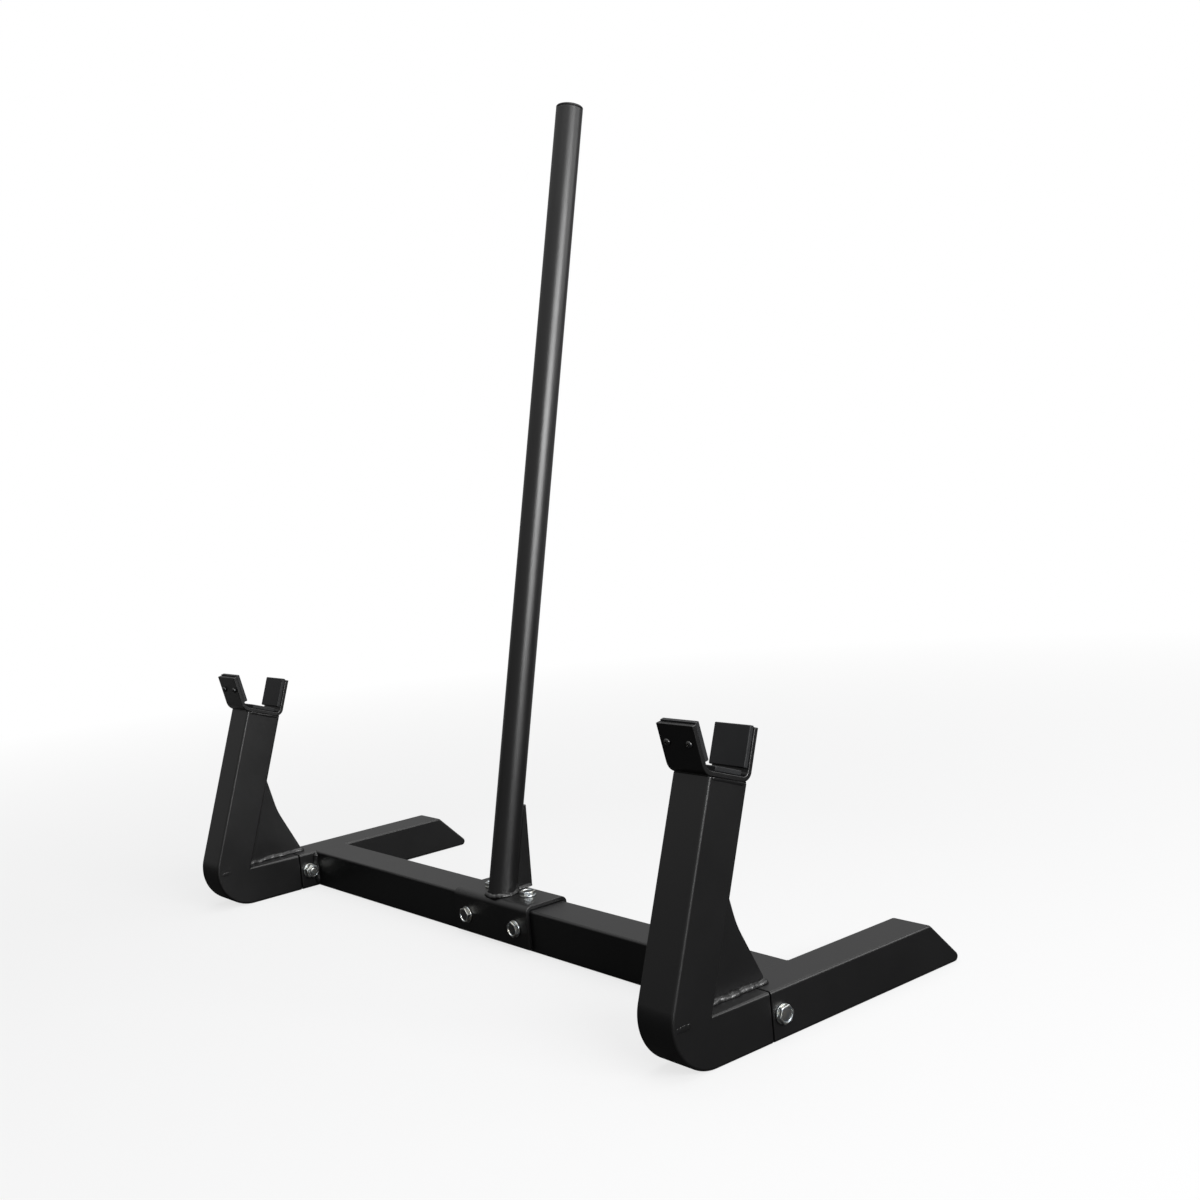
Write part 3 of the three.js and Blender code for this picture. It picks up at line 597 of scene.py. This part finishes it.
def buttonScrew():
    radius, height, socket = padScrew["radius"], padScrew["height"], padScrew["socket"]
    shank, length = padScrew["shank"], padScrew["length"]
    profile = [(0.01, -length), (shank - 0.3, -length), (shank, -length + 0.4), (shank, 0),
               (radius - 0.15, 0), (radius, 0.2)]
    profile += [(radius * math.cos(t) ** 0.75, 0.25 + (height - 0.25) * math.sin(t))
                for t in (0.25, 0.5, 0.75, 1.0, 1.15)]
    profile += [(socket + 0.45, height), (socket + 0.12, height - 0.12)]
    profile += [(socket, height - 0.3), (socket, 0.9), (0.01, 0.75)]

    def shaped(reach, level, angle):  # only the socket is a hexagon
        return hexReach(socket, angle) if reach == socket else reach
    return skin(spun(profile, 36, shaped))


def saddlePads(side, place):
    flare, plate, gap = saddle["flare"], saddle["plate"], jack["gap"]
    innerFoot = saddle["frontFoot"] + plate / math.cos(flare)
    frontTop = saddle["frontHeight"] + plate * math.sin(flare) + pad["rise"] * math.cos(flare)
    armStart = (innerFoot + pad["gap"] - frontTop * math.tan(flare), gap + frontTop)
    backStart = (saddle["backFace"] - plate - pad["gap"], pad["backFoot"])
    outlines = {
        "front": padOutline(armStart, 1.5 * math.pi + flare, pad["front"]),
        "back": padOutline(backStart, math.pi / 2, pad["back"]),
        "floor": padOutline((pad["floorFront"], pad["floorLevel"]), 0, pad["floor"]),
    }
    for where, outline in outlines.items():
        strip = slab(outline, saddle["width"] - pad["margin"], pad["edge"], 4)
        made = piece(f"pad_{where}_{side}", strip, "pad", [f"saddle_pad_{where}_{side}"], place)
        if where == "floor":
            for end in (-1, 1):
                hole = place @ facing((0, 0, 1), (end * padScrew["spread"], padScrew["floor"], 10))
                bored(made, hole, padScrew["hole"], padScrew["holeDepth"])


def padScrews(side, place):
    flare, gap = saddle["flare"], jack["gap"]
    seats = {  # the way a screw's head faces, and the middle of its seat
        "front": ((0, -math.cos(flare), -math.sin(flare)),
                  (saddle["frontFoot"] - padScrew["front"] * math.tan(flare), padScrew["front"] + gap)),
        "back": ((0, 1, 0), (saddle["backFace"], padScrew["back"] + gap)),
        "floor": ((0, 0, 1), (padScrew["floor"], saddle["plate"] + gap)),
    }
    for where, (direction, (u, v)) in seats.items():
        for letter, end in (("a", -1), ("b", 1)):
            seat = Vector((end * padScrew["spread"], u, v)) + Vector(direction) * padScrew["seat"]
            piece(f"screw_{where}_{letter}_{side}", buttonScrew(), "screw",
                  [f"pad_screw_{where}_{letter}_{side}"], place @ facing(direction, seat))


def saddleWelds(side, hand):
    # under the saddle's two bends, where they rise off the upright, and along its sides
    x0, half = hand * jack["frameCentre"], saddleWeld["half"]
    for word, way in (("front", -1), ("back", 1)):
        y, z = uprightPoint(way * saddleWeld["under"], saddleWeld["below"])
        directions = (backUpright * way * 0.45 + upUpright * 0.75,
                      backUpright * way * 0.35 - upUpright * 0.15)
        line = [(x0 - half, y, z), (x0 + half, y, z)]
        bead(f"saddle_weld_{word}_{side}", line, directions, 31 + way + hand, saddleWeld["size"])
    reach, below = saddleSideWeldPlace["half"], saddleSideWeldPlace["below"]
    for face, word in ((-hand, "in"), (hand, "out")):
        line = [(x0 + face * jack["tube"] / 2, *uprightPoint(u, below)) for u in (-reach, reach)]
        directions = (Vector((face * 0.5, 0, 0)) + upUpright * 0.45,
                      Vector((face * 0.3, 0, 0)) - upUpright * 0.9)
        bead(f"saddle_side_weld_{word}_{side}", line, directions, 71 + face + 2 * hand, **saddleSideWeld)


print("saddles")
for side, hand in sides.items():
    place = onSaddle(hand)
    plate = slab(saddleOutline(), saddle["width"], saddle["edge"], 4)
    piece("saddle_" + side, plate, "paint", ["saddle_plate_" + side], place)
    saddlePads(side, place)
    padScrews(side, place)
    saddleWelds(side, hand)

# bracket and handle

bracket = {"length": 150, "plate": 5, "foot": 4, "edge": 0.8}
handle = {"wall": 3.2, "steps": 40}
cap = {"rim": 2.0, "dome": 2.7, "soft": 0.7, "plug": 4, "plugDepth": 18}
web = {"back": 34, "top": 155, "tip": 5.5, "thickness": 6, "edge": 0.8}
handleWeld = {"size": 3.9, "pitch": 5.4, "lump": 0.5, "crown": 0.36, "ripples": 0.12}
webWeld = {"floor": 3.4, "floorStart": 3, "floorStop": 0.5,
           "tube": 3.0, "tubeStart": 5, "tubeStop": 1, "sunk": 0.4}

radius, length = jack["handleRadius"], jack["handleLength"]
tan, cos = math.tan(jack["handleLean"]), math.cos(jack["handleLean"])
leanBack = Matrix.Rotation(-jack["handleLean"], 4, "X")
handlePlace = Matrix.Translation((0, jack["handleY"] * mm, jack["bracketTop"] * mm)) @ leanBack


def bracketOutline():
    inner, corner, plate = jack["tube"] / 2 + jack["gap"], jack["corner"], bracket["plate"]
    y, z = jack["tube"] / 2 - corner, jack["tube"] - corner
    small, large = corner + jack["gap"], corner + jack["gap"] + plate
    return [(inner + plate, bracket["foot"]), *arc((y, z), large, 0, math.pi / 2, 12),
            *arc((-y, z), large, math.pi / 2, math.pi, 12), (-inner - plate, bracket["foot"]),
            (-inner, bracket["foot"]), *arc((-y, z), small, math.pi, math.pi / 2, 8),
            *arc((y, z), small, math.pi / 2, 0, 8), (inner, bracket["foot"])]


def handleTube():
    wall, steps = handle["wall"], handle["steps"]
    profile = [(radius, -jack["overrun"])] + [(radius, length * i / steps) for i in range(steps)]
    profile += [(radius, length - 0.9), (radius - 0.08, length - 0.5), (radius - 0.3, length - 0.2),
                (radius - 0.8, length), (radius - wall, length)]
    tube = skin(spun(profile, 96))
    bmesh.ops.transform(tube, matrix=handlePlace, verts=tube.verts)
    cutOff(tube, (0, 0, jack["bracketTop"] + 0.2), (0, 0, -1))
    return tube


def endCap():
    low, soft, rim, dome = jack["gap"], cap["soft"], cap["rim"], cap["dome"]
    profile = [(radius - cap["plug"], -cap["plugDepth"]), (radius - cap["plug"], low), (radius - 0.5, low)]
    profile += [(radius - soft + soft * math.sin(t), low + soft * (1 - math.cos(t)))
                for t in (0.5, 1.0, 1.57)]
    profile += [(radius * math.cos(t), low + rim + dome * math.sin(t))
                for t in [i * math.pi / 2 / 12 for i in range(12)]]
    profile.append((0.02, low + rim + dome))
    return skin(spun([(r, h + length) for r, h in profile], 96))


def tubeFace(z):  # how far back the handle's surface is at a height
    return jack["handleY"] + (radius + jack["gap"]) / cos + (z - jack["bracketTop"]) * tan


def roundTube(point):
    outward = Vector((point.x, point.y, 0)) - Vector((0, jack["handleY"], 0))
    return outward.normalized(), (0, 0, 1)


print("bracket and handle")
fold = slab(bracketOutline(), bracket["length"], bracket["edge"], 4)
piece("bracket", fold, "paint", ["handle_bracket"])
piece("handle", handleTube(), "paint", ["handle_tube"])
piece("handle_cap", endCap(), "cap", ["handle_end_cap"], handlePlace)

base, top = jack["bracketTop"] + jack["gap"], web["top"]
webOutline = [(tubeFace(base), base), (web["back"], base),
              (tubeFace(top) + web["tip"], top), (tubeFace(top), top)]
piece("handle_web", slab(webOutline, web["thickness"], web["edge"], 4), "paint", ["handle_gusset"])

ringPath = [(radius * math.cos(angle), jack["handleY"] + radius / cos * math.sin(angle), jack["bracketTop"])
            for angle in [2 * math.pi * i / 72 for i in range(72)]]
bead("handle_weld", ringPath, roundTube, 41, closed=True, **handleWeld)
for face, word in ((-1, "left"), (1, "right")):
    x = face * web["thickness"] / 2
    foot = [(x, tubeFace(base) + webWeld["floorStart"], jack["bracketTop"]),
            (x, web["back"] - webWeld["floorStop"], jack["bracketTop"])]
    bead(f"web_floor_weld_{word}", foot, ((face, 0, 0), (0, 0, 1)), 50 + face, webWeld["floor"])
    backward = (0, math.cos(jack["handleLean"]), -math.sin(jack["handleLean"]))
    rise = [(x, tubeFace(z) - webWeld["sunk"], z)
            for z in (base + webWeld["tubeStart"], top - webWeld["tubeStop"])]
    bead(f"web_tube_weld_{word}", rise, ((face, 0, 0), backward), 60 + face, webWeld["tube"])

# fasteners

fastener = {"shank": 5, "flats": 17, "head": 4.0, "rim": 1.5, "recess": 1.0, "pitch": 1.5, "washer": 10,
            "washerHole": 5.3, "washerThick": 1.5, "nut": 7.4, "collar": 2.4}
bolts = {"footY": -37.2, "frontX": 50, "frontZ": 26, "topX": 36, "topY": 2.5, "topLength": 22, "topTurns": 8,
         "throughTurns": 12, "past": 2}
headTurn = {"left": math.radians(11), "right": math.radians(37)}


def hexBody(height, bottomChamfer):  # rings of a hexagon with its corners turned off
    flat = fastener["flats"] / 2
    levels = [0.0, 0.15, 0.4, 0.7, 1.0] if bottomChamfer else [0.0, 0.2]
    levels += [height * 0.5] + [height - d for d in (1.2, 0.95, 0.75, 0.6)]
    profile = [(flat, level) for level in levels]
    profile += [(flat - 0.12, height - 0.3), (flat - 0.35, height - 0.1), (flat - 0.7, height)]

    def shaped(reach, level, angle):
        if reach < flat - 0.75:
            return reach
        near = min(height - level, level if bottomChamfer else height)
        return min(hexReach(flat, angle), flat + 0.35 + near * math.sqrt(3)) * reach / flat
    return profile, shaped


def hexBolt(length, turns):  # its head stands on the floor of its place, and its shank runs down
    head, shank = fastener["head"], fastener["shank"]
    profile, shaped = hexBody(head, False)
    thread = [(shank - (0.0, 0.45, 0.85, 0.45)[i % 4], -length + 1 + i * fastener["pitch"] / 4)
              for i in range(turns * 4)]
    lower = [(0.01, -length), (shank - 1.2, -length), *thread, (shank, thread[-1][1] + 0.6), (shank, -0.01)]
    inner, low = fastener["flats"] / 2 - fastener["rim"], head - fastener["recess"]
    dish = [(inner + 0.4, head - 0.03), (inner + 0.15, head - 0.15), (inner, head - 0.4), (inner - 0.3, low),
            (inner - 0.6, low - 0.15), (0.01, low - 0.15)]
    return skin(spun(lower + profile + dish, 72, shaped))


def recessShadeDisc():  # a dark disc on the floor of a bolt head's recess: painted shade in the recess
    reach, level = fastener["flats"] / 2 - fastener["rim"] - 0.5, fastener["head"] - fastener["recess"]
    profile = [(0.01, level - 0.1), (reach, level - 0.1), (reach, level - 0.02), (reach - 0.3, level + 0.04)]
    profile += [(reach * share, level + 0.05 + 0.3 * math.cos(share * math.pi / 2))
                for share in (0.8, 0.6, 0.4, 0.2)]
    profile.append((0.01, level + 0.35))
    return skin(spun(profile, 48))


def washer():
    reach, hole, thick, soft = fastener["washer"], fastener["washerHole"], fastener["washerThick"], 0.35
    profile = [(hole, 0), (reach - soft, 0), (reach, soft), (reach, thick - 0.5), (reach - 0.2, thick - 0.15),
               (reach - 0.6, thick), (hole + 0.3, thick), (hole, thick - 0.3)]
    return skin(spun(profile, 64), closed=True)


def lockNut():
    height, flat, bore = fastener["nut"], fastener["flats"] / 2, fastener["shank"] + 0.3
    top = height + fastener["collar"]
    profile, shaped = hexBody(height, True)
    profile += [(flat - 0.8, height + 0.05), (flat - 0.8, top - 1.2), (flat - 1.0, top - 0.5),
                (flat - 1.4, top - 0.1), (flat - 1.8, top), (flat - 2.1, top - 0.1), (flat - 2.2, top - 0.4),
                (flat - 2.2, height + 0.3), (bore, height + 0.3), (bore, 0.3), (bore + 0.3, 0)]
    return skin(spun(profile, 72, shaped), closed=True)


def nylonRing():
    outer, inner = fastener["flats"] / 2 - 2.25, fastener["shank"] + 0.05
    low, high = fastener["nut"] + 0.35, fastener["nut"] + fastener["collar"] - 0.7
    profile = [(outer, low), (outer, high - 0.2), (outer - 0.2, high),
               (inner + 0.2, high), (inner, high - 0.2), (inner, low)]
    return skin(spun(profile, 64), closed=True)


def throughBolt(name, side, direction, reach, centrePoint):
    # reach is from the middle to the face under a washer
    direction, middle = Vector(direction), Vector(centrePoint)
    gap, thick = jack["gap"], fastener["washerThick"]
    length = 2 * reach + 2 * thick + fastener["nut"] + fastener["collar"] + bolts["past"]
    under, seat = direction * (reach + gap), direction * (reach + gap + thick + gap)
    heads, tails = facing(direction, middle + seat), facing(-direction, middle - seat)
    spin = Matrix.Rotation(headTurn[side], 4, "Z")
    bolt = hexBolt(length, bolts["throughTurns"])
    piece(f"{name}_bolt_set_{side}", bolt, "zinc", [f"{name}_bolt_{side}"], heads @ spin)
    # a dark disc in the head's recess paints the shade there
    piece(f"{name}_bolt_recess_{side}", recessShadeDisc(), "recessShade", (), heads)
    piece(f"{name}_washer_head_{side}", washer(), "zinc", [f"{name}_head_washer_{side}"],
          facing(direction, middle + under))
    piece(f"{name}_washer_nut_{side}", washer(), "zinc", [f"{name}_nut_washer_{side}"],
          facing(-direction, middle - under))
    piece(f"{name}_nut_{side}", lockNut(), "nut", [f"{name}_lock_nut_{side}"], tails @ spin)
    piece(f"{name}_nut_ring_{side}", nylonRing(), "nylon", (), tails)


def topBolt(side, hand):
    x, y, level = hand * bolts["topX"], bolts["topY"], jack["bracketTop"] + jack["gap"]
    seat = facing((0, 0, 1), (x, y, level + fastener["washerThick"] + jack["gap"]))
    bolt = hexBolt(bolts["topLength"], bolts["topTurns"])
    piece("top_bolt_set_" + side, bolt, "zinc", ["top_bolt_" + side], seat)
    # a dark disc in the head's recess paints the shade there
    piece("top_bolt_recess_" + side, recessShadeDisc(), "recessShade", (), seat)
    place = facing((0, 0, 1), (x, y, level))
    piece("top_washer_set_" + side, washer(), "zinc", ["top_washer_" + side], place)


print("fasteners")
for side, hand in sides.items():
    beside = jack["tube"] / 2 + jack["gap"] + bracket["plate"]
    footSpot = (hand * jack["frameCentre"], bolts["footY"], jack["tube"] / 2)
    throughBolt("foot", side, (hand, 0, 0), jack["tube"] / 2, footSpot)
    throughBolt("bracket", side, (0, -1, 0), beside, (hand * bolts["frontX"], 0, bolts["frontZ"]))
    topBolt(side, hand)

# finishes of the frame's own solids that still show

print("carried-over solids")
for name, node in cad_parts.items():
    for held in node.material_slots:
        held.link = "OBJECT"
        held.material = finishes["nut" if "nut" in name else "paint"]

# floor and backdrop: pale to the camera, and dim in gloss, dark in front and grey behind and above

studio = {
    "rings": (9000, 4000, 2000, 1000), "sink": 0.0003,
    "floor": (0.68, 0.68, 0.685, 1), "dim": (0.02, 0.02, 0.02, 1),
    "paleNear": 0.75, "whiteFrom": 0.7, "whiteTo": 2.6, "fill": 0.12, "low": 0.01, "above": 0.38,
    "ceiling": 0.45, "behind": 0.30, "toBack": (-0.63, 0.77, 0),
    "floorBehind": (0.35, 1.1), "turnBehind": (-0.1, 0.8), "turnAbove": (0.0, 0.33),
    "turnCeiling": (0.35, 0.85),
}


def studioFloor():
    mesh = skin(spun([(reach, 0) for reach in studio["rings"]], 96), capped=False)
    innermost = studio["rings"][-1] * mm
    mesh.faces.new([v for v in mesh.verts if abs(v.co.xy.length - innermost) < 1e-4])
    data = bpy.data.meshes.new("floor")
    mesh.to_mesh(data)
    mesh.free()
    floor = bpy.data.objects.new("floor", data)
    bpy.context.collection.objects.link(floor)
    floor.location.z = -studio["sink"]
    data.materials.append(floorPaper())


def floorPaper():
    paper = Finish("studio floor", Roughness=0.9, Specular_IOR_Level=0.1)
    straight, reflected = paper.rays()
    shade = {0: straight, 6: studio["dim"], 7: studio["floor"]}
    paper.put(Base_Color=paper.signal("Mix", {"data_type": "RGBA"}, shade, 2))
    distance = paper.signal("VectorMath", {"operation": "LENGTH"}, {0: paper.place()}, "Value")
    pale = distance.step(studio["whiteFrom"], studio["whiteTo"])
    fade = studio["paleNear"] + pale * (1 - studio["paleNear"])
    white = paper.node("Emission", {}, {"Color": (1, 1, 1, 1), "Strength": 1.0})
    along = {0: paper.place(), 1: studio["toBack"]}
    behind = paper.signal("VectorMath", {"operation": "DOT_PRODUCT"}, along, "Value")
    share = studio["low"] + behind.step(*studio["floorBehind"]) * studio["behind"]
    mixed = paper.node("MixShader", {}, {0: (fade * straight + share * reflected).clamp()})
    paper.tree.links.new(paper.shader.outputs[0], mixed.inputs[1])
    paper.tree.links.new(white.outputs[0], mixed.inputs[2])
    paper.tree.links.new(mixed.outputs[0], paper.tree.nodes["Material Output"].inputs["Surface"])
    return paper.material


def studioAir():
    world = bpy.data.worlds.new("studio air")
    bpy.context.scene.world = world
    world.use_nodes = True
    air = Nodes(world.node_tree)
    straight, reflected = air.rays()
    along = air.signal("TexCoord", output="Generated")
    toBack = air.signal("VectorMath", {"operation": "DOT_PRODUCT"}, {0: along, 1: studio["toBack"]}, "Value")
    upwards = air.signal("SeparateXYZ", {}, {0: along}, "Z")
    backward = toBack.step(*studio["turnBehind"])
    raised = upwards.step(*studio["turnAbove"])
    share = backward * studio["behind"] + (1 - backward) * raised * studio["above"]
    share = share + upwards.step(*studio["turnCeiling"]) * studio["ceiling"] + studio["low"]
    level = studio["fill"] * (1 - straight - reflected) + straight + reflected * share
    backdrop = air.tree.nodes["Background"]
    backdrop.inputs["Color"].default_value = (1, 1, 1, 1)
    air.tree.links.new(level.socket, backdrop.inputs["Strength"])


print("studio")
studioFloor()
studioAir()

lamps = {  # place, aim, width, height, watts
    "overhead": ((0.2, 0.2, 2.8), (0, 0, 0.2), 3.2, 2.6, 50),
    "side window": ((2.92, -0.15, 1.28), (0, 0, 0.6), 2.4, 0.8, 106),
    "back window": ((2.1, 2.0, 1.35), (0, 0, 0.6), 2.2, 0.8, 16),
}
for name, (place, aim, width, height, watts) in lamps.items():
    lamp = bpy.data.lights.new(name, "AREA")
    lamp.shape, lamp.size, lamp.size_y, lamp.energy = "RECTANGLE", width, height, watts
    holder = bpy.data.objects.new(name, lamp)
    bpy.context.collection.objects.link(holder)
    holder.location = place
    holder.rotation_euler = (Vector(aim) - Vector(place)).to_track_quat("-Z", "Y").to_euler()

# camera: metres and radians, with its focal length in pixels of the square image

view = {"place": (1.47298, -1.00526, 0.54995), "azimuth": 0.890934, "down": 0.0852638, "roll": -0.0959819,
        "focalPixels": 1492.53, "imagePixels": 1200, "sensor": 36}
azimuth, down, roll = view["azimuth"], view["down"], view["roll"]
forward = Vector((-math.sin(azimuth) * math.cos(down), math.cos(azimuth) * math.cos(down), -math.sin(down)))
sideways = Vector((math.cos(azimuth), math.sin(azimuth), 0))
above = sideways.cross(forward)
right = sideways * math.cos(roll) + above * math.sin(roll)
upward = above * math.cos(roll) - sideways * math.sin(roll)
lens = bpy.data.cameras.new("camera")
lens.sensor_width = view["sensor"]
lens.lens = view["focalPixels"] / view["imagePixels"] * view["sensor"]
camera = bpy.data.objects.new("camera", lens)
bpy.context.collection.objects.link(camera)
turned = Matrix((right, upward, -forward)).transposed().to_4x4()
camera.matrix_world = Matrix.Translation(view["place"]) @ turned
bpy.context.scene.camera = camera
bpy.context.scene.view_settings.view_transform = "Standard"
